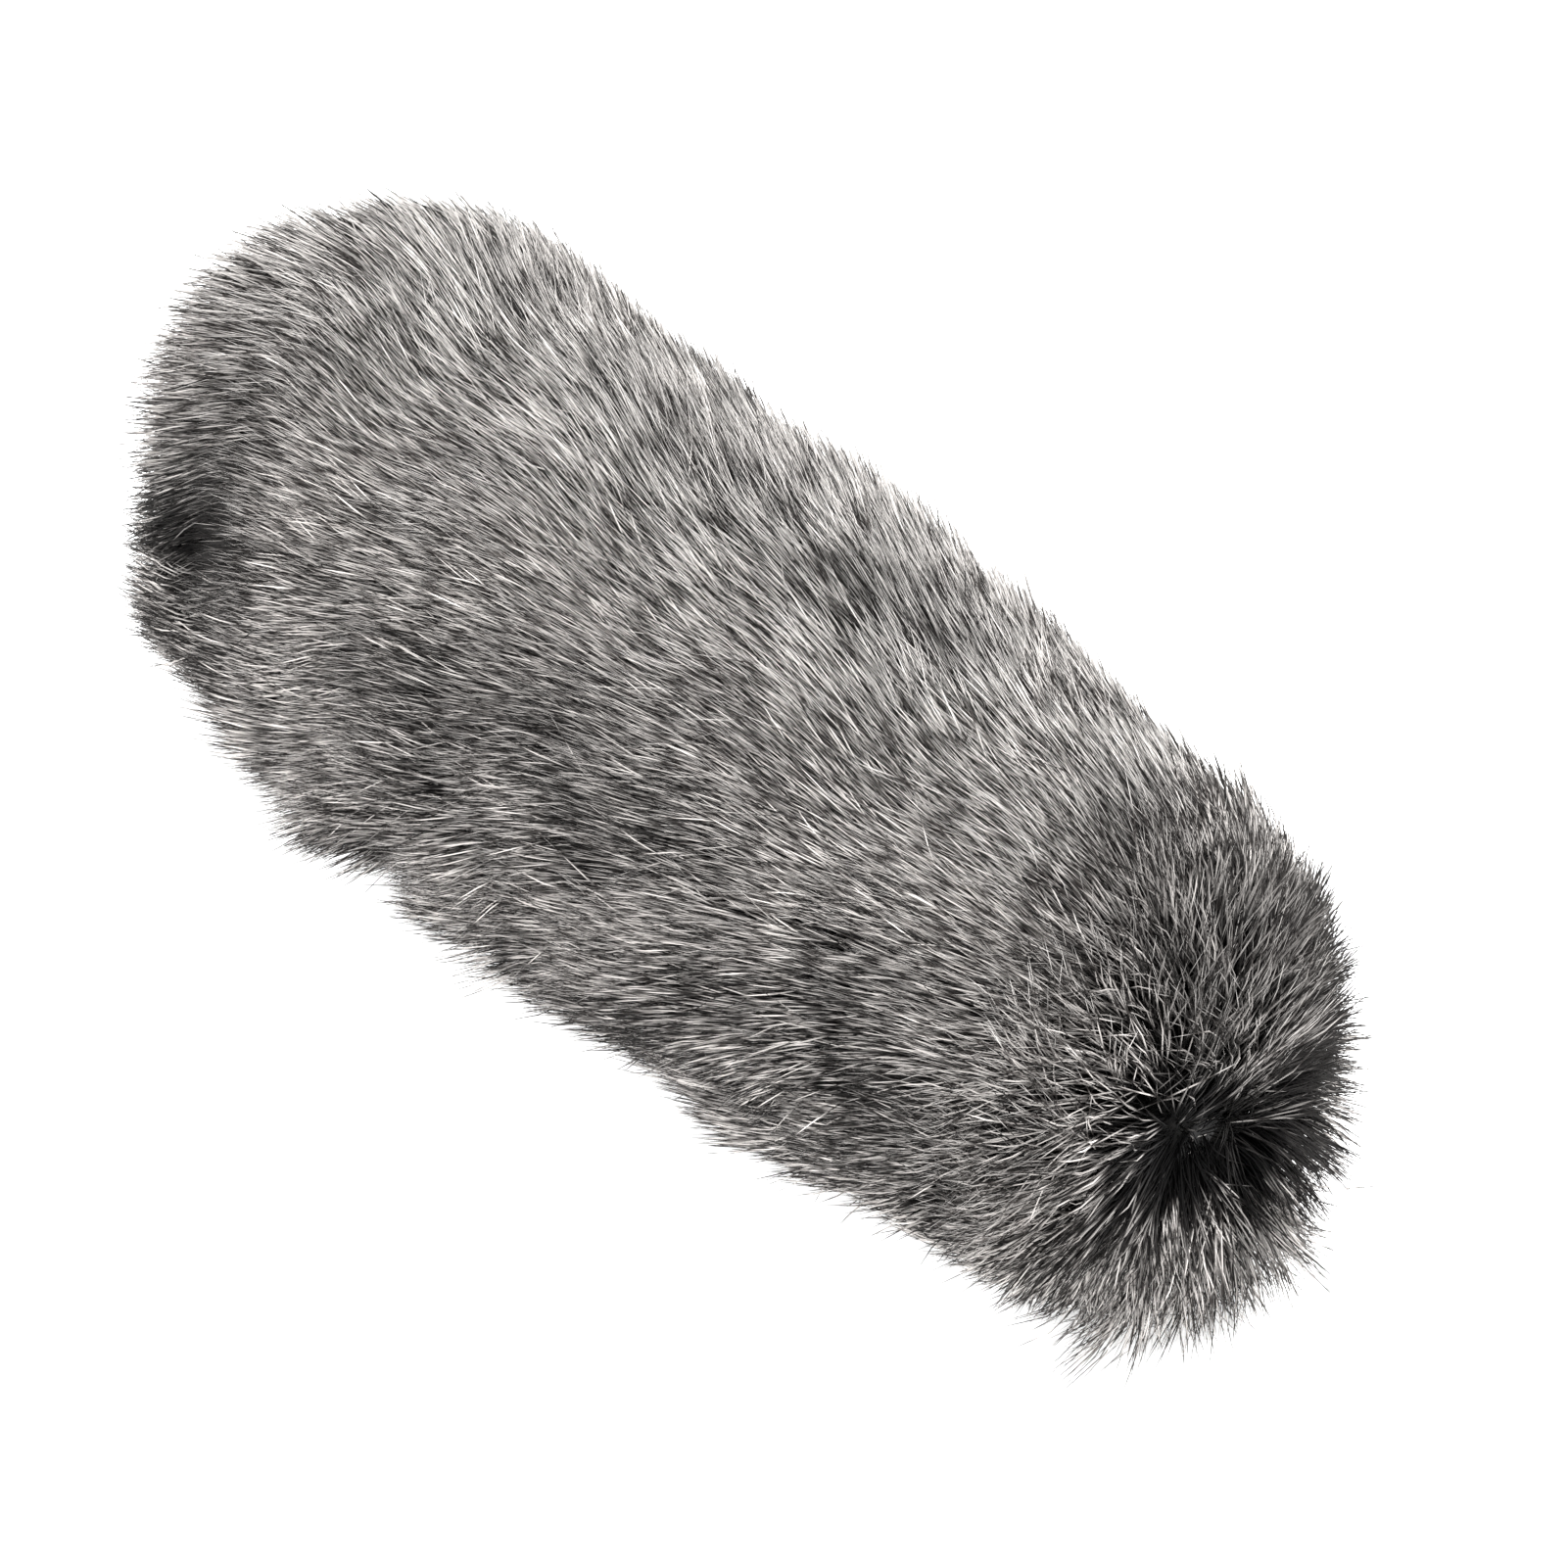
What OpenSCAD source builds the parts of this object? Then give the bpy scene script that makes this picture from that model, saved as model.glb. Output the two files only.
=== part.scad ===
// Furry slip-on windscreen for a short shotgun microphone.
// A foam core with a blind bore grips the microphone. A long-pile fur cover slips over
// the core from the nose, and its elastic mouth closes behind the core's rear shoulder.
// +X runs along the bore towards the nose, +Z is up, and the origin is the centre of the
// collar's rear face, where the microphone goes in.

/* [Microphone] */
// Diameter of the microphone barrel that the collar grips
mic_d = 22; // [19:0.5:25]
// How much smaller the collar's bore is than the barrel, across the diameter
grip = 0.5; // [0.2:0.1:0.8]
// Depth of the blind bore from the collar's rear face
bore_depth = 180; // [120:1:180]

/* [Foam core] */
// Diameter of the foam core under its scrim
core_d = 60; // [56:1:64]
// Where the core's nose ends
core_nose_x = 190; // [188:1:196]
// Where the core's rear shoulder begins
core_rear_x = 9; // [9:0.5:10]
// Thickness of the knitted scrim over the foam
scrim_t = 0.6; // [0.4:0.1:0.7]
// Thickness of the bore's mesh liner
liner_t = 0.8; // [0.6:0.1:1]

/* [Fur cover] */
// Diameter over the combed-down pile
fur_d = 93; // [84:1:94]
// Diameter over the pile where the nose starts to round
fur_nose_d = 80; // [76:1:84]
// Where the pile ends at the nose
fur_nose_x = 213; // [208:1:218]
// Where the pile ends at the rear
fur_rear_x = -5; // [-6:1:-3]
// Height of the underside, where the pile is pressed flat, below the bore's axis
flat_z = 41.5; // [41:0.5:43]
// Gap between the core and the cover that slides over it
slip_gap = 0.8; // [0.6:0.1:1]
// Thickness of the cover's lining
lining_t = 0.6; // [0.4:0.1:0.8]
// Turn of the cover's long seam about the bore, from the underside towards the front
seam_turn = 38; // [0:1:60]

/* [Rear collar] */
// Outer diameter of the rubber collar's neck
neck_d = 30; // [29:0.5:31]
// Diameter of the collar's two flanges
flange_d = 39; // [36:0.5:40]
// Diameter of the elastic cord in the hem
elastic_d = 2.8; // [2.4:0.1:3]

/* [Hidden] */
$fn = 96;

// Core
core_r = core_d / 2;
core_rear_round = 13.4;
core_nose_round = 21.4;
grip_r = (mic_d - grip) / 2;
grip_len = 10;
bore_r = mic_d / 2 + 0.4;
liner_r = bore_r + liner_t;
neck_r = neck_d / 2;
flange_r = flange_d / 2;
flange_t = 1.2;
ring_x0 = core_rear_x + scrim_t;
ring_x1 = ring_x0 + 8;
plate_r = 28.5;
plate_x1 = ring_x1 + 1.6;
collar_x1 = plate_x1 + 1.6;
barrel_x1 = 160;
pad_t = 4;

// Cover: each layer is the one below it, grown by a thickness
scrim_grow = scrim_t;
lining_grow = scrim_grow + slip_gap;
backing_grow = lining_grow + lining_t;
sleeve_in_r = core_r + backing_grow;
fur_r = fur_d / 2;
fur_nose_r = fur_nose_d / 2;
skirt_x1 = 28;
gore_x0 = 164;
taper_x0 = 112;
rear_round_x = 48;
nose_round_x = 34;
nose_flat_r = 14;
taper_x1 = fur_nose_x - nose_round_x;
tape_t = 1;
strip_t = 0.8;
tape_w = 8;
groove_over = 1;

// Hem: a cord in a folded casing, round the collar's neck
casing_r = elastic_d / 2 + 1;
channel_r = elastic_d / 2 + 0.1;
hem_r = neck_r + 0.8 + casing_r;
hem_x = 4.5;
mouth_r = hem_r + casing_r + 0.2;

// Thread
thread_r = 0.35;
stitch_len = 2.6;
stitch_pitch = 4;
hem_stitch_count = 28;
ring_stitch_count = 48;

black = "#232323";
foam_grey = "#3a3a3c";
pile_grey = "#8f8c8a";
pile_dark = "#6a6765";
lining_grey = "#54504e";
thread_grey = "#b9b5b2";

// Turns a profile of [radius, x] points about the bore's axis.
module turned(angle = 360) rotate([0, 90, 0]) rotate_extrude(angle = angle) children();

// A ring or tube from x0 to x1.
module tube(r_in, r_out, x0, x1)
    translate([x0, 0, 0]) rotate([0, 90, 0]) difference() {
        cylinder(r = r_out, h = x1 - x0);
        translate([0, 0, -1]) cylinder(r = r_in, h = x1 - x0 + 2);
    }

// Points along a quarter of an ellipse about [r, x], from angle a0 to a1.
function arc(r, x, ar, ax, a0, a1, n) =
    [for (i = [0 : n]) let (a = a0 + (a1 - a0) * i / n) [r + ar * cos(a), x + ax * sin(a)]];

// Outline of the core, grown by g: flat rear face, round shoulder, round nose.
function core_outline(g) = concat(
    [[0, core_rear_x + scrim_t - g]],
    arc(core_r - core_rear_round, ring_x0 + core_rear_round, core_rear_round + g,
        core_rear_round + g, -90, 0, 8),
    arc(core_r - core_nose_round, core_nose_x - core_nose_round, core_nose_round + g,
        core_nose_round + g, 0, 90, 10),
    [[0, core_nose_x + g]]);

// Radius of the combed pile between the rear rounding and the nose.
function pile_r(x) = let (t = max(0, min(1, (x - taper_x0) / (taper_x1 - taper_x0))))
    fur_r - (fur_r - fur_nose_r) * t * t * (3 - 2 * t);

// Outline of the pile: drawn in at the mouth, nearly straight, then round to the nose.
function pile_outline() = concat(
    [[0, fur_rear_x]],
    arc(mouth_r, fur_rear_x + rear_round_x, fur_r - mouth_r, rear_round_x, -90, 0, 9),
    [for (x = [taper_x0 : 11 : taper_x1 - 1]) [pile_r(x), x]],
    arc(nose_flat_r, taper_x1, fur_nose_r - nose_flat_r, nose_round_x, 0, 90, 9),
    [[0, fur_nose_x]]);

// Everything between two planes across the bore.
module between(x0, x1) translate([x0, -100, -100]) cube([x1 - x0, 200, 200]);

// The pile and its backing: outline less the lined core, pressed flat underneath.
module pile() difference() {
    turned() polygon(pile_outline());
    turned() polygon(core_outline(backing_grow));
    translate([-50, -100, -100 - flat_z]) cube([300, 200, 100]);
}

// Places a child that lies along the underside on the line of the long seam.
module on_seam() rotate([-seam_turn, 0, 0]) children();

// A ring tape; over makes it thicker inwards, as the cutter of the groove it lies in.
module ring_tape_at(x, over = 0)
    tube(sleeve_in_r - over, sleeve_in_r + tape_t, x - tape_w / 2, x + tape_w / 2);

module rear_collar() color(black) difference() {
    union() {
        tube(grip_r, neck_r, 0, collar_x1);
        tube(neck_r - 1, flange_r, core_rear_x - flange_t, core_rear_x);
        tube(neck_r - 1, flange_r, plate_x1, collar_x1);
    }
    translate([grip_len, 0, 0]) rotate([0, 90, 0]) cylinder(r = bore_r, h = 20);
}

// Closed-cell foam that closes the core's rear end.
module rear_foam_ring() color(black) intersection() {
    difference() {
        turned() polygon(core_outline(0));
        translate([-1, 0, 0]) rotate([0, 90, 0]) cylinder(r = neck_r, h = 60);
    }
    between(ring_x0, ring_x1);
}

module end_plate() color("#151515") tube(neck_r, plate_r, ring_x1, plate_x1);

module bore_liner() color(lining_grey) tube(bore_r, liner_r, collar_x1, bore_depth);

// Open-cell foam tube; its rear face is cut back for the collar's inner flange.
module foam_barrel() color(foam_grey) intersection() {
    difference() {
        turned() polygon(core_outline(0));
        translate([-1, 0, 0]) rotate([0, 90, 0]) cylinder(r = liner_r, h = 200);
        rotate([0, 90, 0]) cylinder(r = flange_r, h = collar_x1);
    }
    between(plate_x1, barrel_x1);
}

// Domed foam plug glued to the barrel's front end.
module foam_nose() color(foam_grey) intersection() {
    difference() {
        turned() polygon(core_outline(0));
        rotate([0, 90, 0]) cylinder(r = liner_r, h = bore_depth + pad_t);
    }
    between(barrel_x1, core_nose_x);
}

// Soft stop for the tip of the microphone.
module nose_pad() color("#4a4a4c")
    translate([bore_depth, 0, 0]) rotate([0, 90, 0]) cylinder(r = liner_r, h = pad_t);

// Knitted stocking over the whole foam core; the collar's outer flange traps its edge.
module core_scrim() color("#2b2b2d") difference() {
    turned() polygon(core_outline(scrim_grow));
    turned() polygon(core_outline(0));
    rotate([0, 90, 0]) cylinder(r = neck_r, h = 60, center = true);
}

// Slippery lining of the cover, tube and nose in one.
module cover_lining() color(lining_grey) intersection() {
    difference() {
        turned() polygon(core_outline(backing_grow));
        turned() polygon(core_outline(lining_grow));
    }
    between(skirt_x1, fur_nose_x);
}

module fur_sleeve() color(pile_grey) difference() {
    intersection() {
        pile();
        between(skirt_x1, gore_x0);
    }
    on_seam() sleeve_strip(groove_over);
    ring_tape_at(skirt_x1, groove_over);
    ring_tape_at(gore_x0, groove_over);
}

// The sleeve's rear end, gathered in to the elastic mouth.
module fur_skirt() color(pile_dark) difference() {
    intersection() {
        pile();
        between(fur_rear_x, skirt_x1);
    }
    rotate([0, 90, 0]) cylinder(r = mouth_r, h = 60, center = true);
    ring_tape_at(skirt_x1, groove_over);
}

// Half of the nose dome, on one side of the arch seam.
module nose_gore(side) difference() {
    intersection() {
        pile();
        between(gore_x0, fur_nose_x);
        on_seam() translate([0, side > 0 ? 0 : -100, -100]) cube([300, 100, 200]);
    }
    ring_tape_at(gore_x0, groove_over);
    on_seam() arch_strip(groove_over);
}

module nose_gore_front() color(pile_grey) nose_gore(-1);
module nose_gore_back() color(pile_dark) nose_gore(1);

// The long seam's tape, along the underside between the two ring tapes. As a groove's
// cutter it is thicker inwards by over and runs on into the ring grooves.
module sleeve_strip(over = 0)
    intersection() {
        tube(sleeve_in_r - over, sleeve_in_r + strip_t,
            skirt_x1 + tape_w / 2 - over, gore_x0 - tape_w / 2 + over);
        translate([0, -tape_w / 2, -fur_r]) cube([gore_x0, tape_w, fur_r]);
    }

// The arch seam's tape, over the nose dome from one side of the ring tape to the other.
module arch_strip(over = 0)
    intersection() {
        difference() {
            turned() polygon(core_outline(backing_grow + strip_t));
            turned() polygon(core_outline(backing_grow - over));
        }
        between(gore_x0 + tape_w / 2 - over, fur_nose_x);
        translate([0, -tape_w / 2, -fur_r]) cube([fur_nose_x, tape_w, fur_d]);
    }

module sleeve_tape() color(black) on_seam() sleeve_strip();
module nose_arch_tape() color(black) on_seam() arch_strip();
module skirt_tape() color(black) ring_tape_at(skirt_x1);
module nose_ring_tape() color(black) ring_tape_at(gore_x0);

// One stitch, centred, lying across a seam that runs along Y.
module stitch() rotate([0, 90, 0]) cylinder(r = thread_r, h = stitch_len, center = true, $fn = 16);

module ring_stitches(x, r, count)
    for (i = [0 : count - 1])
        rotate([i * 360 / count, 0, 0]) translate([x, 0, -r]) stitch();

module sleeve_stitches() color(thread_grey) on_seam()
    for (x = [skirt_x1 + tape_w : stitch_pitch : gore_x0 - tape_w])
        translate([x, 0, -sleeve_in_r - strip_t / 2]) rotate([0, 0, 90]) stitch();

module skirt_stitches() color(thread_grey)
    ring_stitches(skirt_x1, sleeve_in_r + tape_t / 2, ring_stitch_count);

module nose_ring_stitches() color(thread_grey)
    ring_stitches(gore_x0, sleeve_in_r + tape_t / 2, ring_stitch_count);

// Stitches across the arch seam: round one shoulder, over the flat nose, down the other.
module nose_arch_stitches() color(thread_grey) on_seam() {
    turn_r = core_nose_round + backing_grow + strip_t / 2;
    turn_x = core_nose_x - core_nose_round;
    for (side = [-1, 1], a = [20 : 10 : 80])
        translate([turn_x + turn_r * sin(a), 0,
            side * (core_r - core_nose_round + turn_r * cos(a))])
            rotate([0, 0, 90]) stitch();
    for (z = [-6 : 3 : 6])
        translate([turn_x + turn_r, 0, z]) rotate([0, 0, 90]) stitch();
}

// Folded cloth channel round the elastic, open towards the skirt where it is sewn shut.
module hem_casing() color(black) turned() difference() {
    translate([hem_r, hem_x]) circle(r = casing_r, $fn = 32);
    translate([hem_r, hem_x]) circle(r = channel_r, $fn = 32);
    translate([hem_r, hem_x - 0.25]) square([casing_r + 1, 0.5]);
}

module hem_elastic() color("#e8e6e2")
    turned() translate([hem_r, hem_x]) circle(r = elastic_d / 2, $fn = 32);

// Zigzag stitches that close the casing's slot, on its outer side.
module hem_stitches() color(thread_grey)
    for (i = [0 : hem_stitch_count - 1])
        rotate([i * 360 / hem_stitch_count, 0, 0])
            translate([hem_x, 0, -(hem_r + (casing_r + channel_r) / 2)])
                rotate([0, 90, 0]) cylinder(r = thread_r, h = 1.6, center = true, $fn = 16);

rear_collar();
rear_foam_ring();
end_plate();
bore_liner();
foam_barrel();
foam_nose();
nose_pad();
core_scrim();
cover_lining();
fur_sleeve();
fur_skirt();
nose_gore_front();
nose_gore_back();
sleeve_tape();
sleeve_stitches();
skirt_tape();
skirt_stitches();
nose_ring_tape();
nose_ring_stitches();
nose_arch_tape();
nose_arch_stitches();
hem_casing();
hem_elastic();
hem_stitches();
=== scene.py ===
"""A furry windscreen for a shotgun microphone: a foam core in a pull-off fur cover.

The bore's axis is X, the nose is at +X and +Z is up. The pile is real mesh strands, rooted
on the backing cloth, combed from the whorl at the nose back to the rear mouth.
"""

import math

import bmesh
import bpy
import numpy as np
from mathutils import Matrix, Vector
from mathutils.kdtree import KDTree


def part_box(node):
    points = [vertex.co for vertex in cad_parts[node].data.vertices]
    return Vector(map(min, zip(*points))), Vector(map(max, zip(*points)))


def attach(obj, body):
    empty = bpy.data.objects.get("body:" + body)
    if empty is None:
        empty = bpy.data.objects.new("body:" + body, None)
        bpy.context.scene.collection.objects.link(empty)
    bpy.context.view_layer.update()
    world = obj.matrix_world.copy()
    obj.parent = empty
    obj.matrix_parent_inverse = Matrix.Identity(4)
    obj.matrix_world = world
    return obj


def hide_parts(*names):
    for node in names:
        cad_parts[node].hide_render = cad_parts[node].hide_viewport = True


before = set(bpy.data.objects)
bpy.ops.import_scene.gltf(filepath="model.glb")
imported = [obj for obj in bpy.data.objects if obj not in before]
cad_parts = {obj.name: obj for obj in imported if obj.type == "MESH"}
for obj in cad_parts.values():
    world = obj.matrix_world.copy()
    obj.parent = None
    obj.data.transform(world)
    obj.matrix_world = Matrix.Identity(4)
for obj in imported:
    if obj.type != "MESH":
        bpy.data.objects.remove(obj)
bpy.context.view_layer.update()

MM = 0.001
rng = np.random.default_rng(20240611)

# ---------------------------------------------------------------- measures from the frame
SKIRT_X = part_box("fur_skirt")[1][0]
GORE_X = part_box("nose_gore_back")[0][0]
COLLAR_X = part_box("rear_collar")[1][0]
BARREL_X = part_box("foam_barrel")[1][0]
FLOOR_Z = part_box("fur_sleeve")[0][2] - 1.0 * MM
scrim_low, scrim_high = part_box("core_scrim")
pad_low, pad_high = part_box("nose_pad")

SCRIM_T = 0.6 * MM
BACKING_T = 1.1 * MM
# Turn of the cover's long seam about the bore, from the underside towards the front
SEAM_TURN = math.radians(38)



# ---------------------------------------------------------------- small helpers
def link(name, mesh):
    obj = bpy.data.objects.new(name, mesh)
    bpy.context.scene.collection.objects.link(obj)
    return obj


def mesh_from(name, verts, faces):
    mesh = bpy.data.meshes.new(name)
    mesh.from_pydata([tuple(v) for v in verts], [], faces)
    mesh.validate()
    mesh.update()
    mesh.polygons.foreach_set("use_smooth", [True] * len(mesh.polygons))
    return mesh


def unit(v):
    return v / np.maximum(np.linalg.norm(v, axis=-1, keepdims=True), 1e-12)


def smoothstep(a, b, x):
    t = np.clip((x - a) / (b - a), 0, 1)
    return t * t * (3 - 2 * t)


class Waves:
    """Smooth noise: a sum of plane waves of about one wavelength, from -1 to 1."""

    def __init__(self, wavelength, seed, count=14):
        r = np.random.default_rng(seed)
        k = unit(r.normal(size=(count, 3))) * (2 * math.pi / wavelength)
        self.k = k * r.uniform(0.6, 1.5, (count, 1))
        self.phase = r.uniform(0, 2 * math.pi, count)
        self.scale = 1.6 / math.sqrt(count)

    def __call__(self, p):
        return np.clip(np.sin(p @ self.k.T + self.phase).sum(1) * self.scale, -1.5, 1.5)


# ---------------------------------------------------------------- the core's outline
REAR_ROUND = 13.4 * MM
NOSE_ROUND = 21.4 * MM
CORE_R = scrim_high[1] - SCRIM_T
REAR_X = scrim_low[0] + SCRIM_T
NOSE_X = scrim_high[0] - SCRIM_T


def outline(grow, r_mouth, steps):
    """Points (x, r) on the core's outline grown outwards, from the mouth to the nose pole,
    and how far along it each one is."""
    a = np.linspace(-math.pi / 2, 0, 24)
    rear = np.stack(
        [
            REAR_X + REAR_ROUND + (REAR_ROUND + grow) * np.sin(a),
            CORE_R - REAR_ROUND + (REAR_ROUND + grow) * np.cos(a),
        ],
        1,
    )
    b = np.linspace(0, math.pi / 2, 32)
    nose = np.stack(
        [
            NOSE_X - NOSE_ROUND + (NOSE_ROUND + grow) * np.sin(b),
            CORE_R - NOSE_ROUND + (NOSE_ROUND + grow) * np.cos(b),
        ],
        1,
    )
    pts = np.concatenate([[[REAR_X - grow, 0]], rear, nose, [[NOSE_X + grow, 0]]])
    along = np.concatenate([[0], np.cumsum(np.linalg.norm(np.diff(pts, axis=0), axis=1))])
    rear_rows = 20
    start = np.interp(r_mouth, pts[:rear_rows, 1], along[:rear_rows])
    at = np.linspace(start, along[-1], steps)
    return np.stack([np.interp(at, along, pts[:, k]) for k in range(2)], 1), at - start


def weld(mesh):
    """Merges points that lie on each other, as at the pole of a turned surface."""
    work = bmesh.new()
    work.from_mesh(mesh)
    bmesh.ops.remove_doubles(work, verts=work.verts, dist=1e-6)
    bmesh.ops.dissolve_degenerate(work, edges=work.edges, dist=1e-7)
    bmesh.ops.recalc_face_normals(work, faces=work.faces)
    work.to_mesh(mesh)
    work.free()


def revolve(name, pts, turns=160, ripple=None, loop=False):
    """A surface turned about X from (x, r) points; ripple(x, r, angle) adds to the radius."""
    angle = np.linspace(0, 2 * math.pi, turns, endpoint=False)
    verts, faces = [], []
    for x, r in pts:
        rr = np.full(turns, r)
        if ripple is not None and r > 1e-6:
            rr = rr + ripple(x, r, angle)
        verts.extend(zip(np.full(turns, x), rr * np.cos(angle), rr * np.sin(angle)))
    rows = len(pts)
    for i in range(rows if loop else rows - 1):
        m = (i + 1) % rows
        for j in range(turns):
            k = (j + 1) % turns
            faces.append((i * turns + j, i * turns + k, m * turns + k, m * turns + j))
    mesh = mesh_from(name, verts, faces)
    weld(mesh)
    return link(name, mesh)


def thicken(obj, thickness, offset=1):
    """Gives a sheet its thickness, outwards for offset 1."""
    solid = obj.modifiers.new("cloth", "SOLIDIFY")
    solid.thickness = thickness
    solid.offset = offset


# ---------------------------------------------------------------- materials
def node_material(name, rough, specular):
    mat = bpy.data.materials.new(name)
    mat.use_nodes = True
    nodes, links = mat.node_tree.nodes, mat.node_tree.links
    shader = nodes["Principled BSDF"]
    shader.inputs["Roughness"].default_value = rough
    shader.inputs["Specular IOR Level"].default_value = specular
    return mat, nodes, links, shader


def ramp(nodes, stops):
    node = nodes.new("ShaderNodeValToRGB")
    elements = node.color_ramp.elements
    while len(elements) < len(stops):
        elements.new(0.5)
    for element, (place, colour) in zip(elements, stops):
        element.position = place
        element.color = (*colour, 1)
    return node


def linear(r, g, b):
    """An sRGB colour, 0 to 255, as linear numbers."""
    return tuple(((c / 255 + 0.055) / 1.055) ** 2.4 if c > 10 else c / 3295 for c in (r, g, b))


def fur_material():
    """Strand colour from the strand's own map: U is how light it is, V runs root to tip."""
    mat, nodes, links, shader = node_material("fur_strand", 0.65, 0.06)
    uv = nodes.new("ShaderNodeUVMap")
    uv.uv_map = "OFBake"
    split = nodes.new("ShaderNodeSeparateXYZ")
    links.new(uv.outputs["UV"], split.inputs[0])
    pale = ramp(
        nodes,
        [
            (0.0, linear(12, 11, 11)),
            (0.46, linear(20, 19, 18)),
            (0.54, linear(80, 76, 74)),
            (0.62, linear(226, 221, 217)),
            (0.74, linear(214, 208, 204)),
            (0.80, linear(64, 60, 58)),
            (0.86, linear(60, 57, 55)),
            (0.92, linear(230, 225, 221)),
            (1.0, linear(250, 247, 244)),
        ],
    )
    dark = ramp(
        nodes,
        [
            (0.0, linear(12, 12, 12)),
            (0.60, linear(16, 15, 15)),
            (0.90, linear(24, 23, 22)),
            (1.0, linear(40, 38, 37)),
        ],
    )
    links.new(split.outputs["Y"], pale.inputs[0])
    links.new(split.outputs["Y"], dark.inputs[0])
    mix = nodes.new("ShaderNodeMix")
    mix.data_type = "RGBA"
    links.new(split.outputs["X"], mix.inputs["Factor"])
    links.new(dark.outputs["Color"], mix.inputs["A"])
    links.new(pale.outputs["Color"], mix.inputs["B"])
    links.new(mix.outputs["Result"], shader.inputs["Base Color"])
    return mat


def cloth_material(
    name, base, other, scale, rough=0.85, bump=0.3, specular=0.25, stretch=(1, 1, 1)
):
    """Cloth, foam or rubber: a fine grain in colour and bump, with soft blotches."""
    mat, nodes, links, shader = node_material(name, rough, specular)
    place = nodes.new("ShaderNodeTexCoord")
    mapping = nodes.new("ShaderNodeMapping")
    mapping.inputs["Scale"].default_value = stretch
    links.new(place.outputs["Object"], mapping.inputs[0])
    weave = nodes.new("ShaderNodeTexVoronoi")
    weave.inputs["Scale"].default_value = scale
    links.new(mapping.outputs[0], weave.inputs["Vector"])
    blotch = nodes.new("ShaderNodeTexNoise")
    blotch.inputs["Scale"].default_value = 60
    links.new(place.outputs["Object"], blotch.inputs["Vector"])
    mixed = nodes.new("ShaderNodeMath")
    mixed.operation = "MULTIPLY"
    links.new(weave.outputs["Distance"], mixed.inputs[0])
    links.new(blotch.outputs["Fac"], mixed.inputs[1])
    shade = ramp(nodes, [(0.0, base), (0.6, other)])
    links.new(mixed.outputs[0], shade.inputs[0])
    links.new(shade.outputs["Color"], shader.inputs["Base Color"])
    lift = nodes.new("ShaderNodeBump")
    lift.inputs["Strength"].default_value = bump
    lift.inputs["Distance"].default_value = 0.0003
    links.new(weave.outputs["Distance"], lift.inputs["Height"])
    links.new(lift.outputs[0], shader.inputs["Normal"])
    return mat


FUR = fur_material()
BACKING = cloth_material("backing_cloth", linear(12, 12, 11), linear(24, 23, 22), 900, specular=0.05)
LINING = cloth_material("lining_cloth", linear(52, 49, 46), linear(88, 84, 80), 700, rough=0.5)
SCRIM = cloth_material(
    "scrim_knit", linear(10, 10, 11), linear(66, 66, 68), 620, bump=0.9, stretch=(1, 2, 2)
)
TAPE = cloth_material("seam_tape", linear(24, 24, 24), linear(44, 44, 44), 800)
THREAD = cloth_material("thread", linear(150, 146, 142), linear(196, 191, 187), 1500)
ELASTIC = cloth_material("elastic_braid", linear(196, 193, 186), linear(232, 229, 222), 1200)
FOAM = cloth_material("open_foam", linear(28, 28, 29), linear(62, 62, 64), 520, bump=0.8)
CLOSED = cloth_material("closed_foam", linear(18, 18, 18), linear(34, 34, 34), 1500)
MESH = cloth_material("spacer_mesh", linear(28, 28, 30), linear(66, 66, 68), 420, bump=0.8)
RUBBER = cloth_material("collar_rubber", linear(22, 22, 22), linear(36, 36, 36), 300, rough=0.5)
PLASTIC = cloth_material("plate_plastic", linear(16, 16, 16), linear(26, 26, 26), 900, rough=0.4)

CAD_LOOKS = {
    "rear_collar": RUBBER,
    "rear_foam_ring": CLOSED,
    "end_plate": PLASTIC,
    "bore_liner": MESH,
    "foam_barrel": FOAM,
    "foam_nose": FOAM,
    "nose_pad": CLOSED,
    "core_scrim": SCRIM,
    "cover_lining": LINING,
    "sleeve_tape": TAPE,
    "sleeve_stitches": THREAD,
    "skirt_tape": TAPE,
    "skirt_stitches": THREAD,
    "nose_ring_tape": TAPE,
    "nose_ring_stitches": THREAD,
    "nose_arch_tape": TAPE,
    "nose_arch_stitches": THREAD,
    "hem_casing": TAPE,
    "hem_elastic": ELASTIC,
    "hem_stitches": THREAD,
}
for node_name, look in CAD_LOOKS.items():
    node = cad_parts[node_name]
    node.data.materials.clear()
    node.data.materials.append(look)

# ---------------------------------------------------------------- backing cloth
MOUTH_R = 20.9 * MM
ROOT_GROW = 2.0 * MM + BACKING_T
BACKING_GROW = 2.05 * MM
BACKING_LAP = 0.2 * MM
root_line, root_along = outline(ROOT_GROW, MOUTH_R, 400)


def finish_piece(obj, look, body, slot, *nodes):
    """Gives a piece its material and body, and hides the CAD nodes that it stands for; slot is not
    used.
    """
    obj.data.materials.append(look)
    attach(obj, body)
    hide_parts(*nodes)
    return obj


def backing_line(x0, x1):
    """Points (x, r) on the backing's inner face between two places along X."""
    line, _ = outline(BACKING_GROW, MOUTH_R, 260)
    return line[(line[:, 0] >= x0 - BACKING_LAP) & (line[:, 0] <= x1 + BACKING_LAP)]


def backing_piece(name, x0, x1, nodes):
    """One cut of the fur's backing cloth, a thin turned shell."""
    obj = revolve(name, backing_line(x0, x1), turns=180)
    thicken(obj, BACKING_T - 0.1 * MM, offset=-1)
    return finish_piece(obj, BACKING, "cover", "fur_dark", *nodes)


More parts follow.
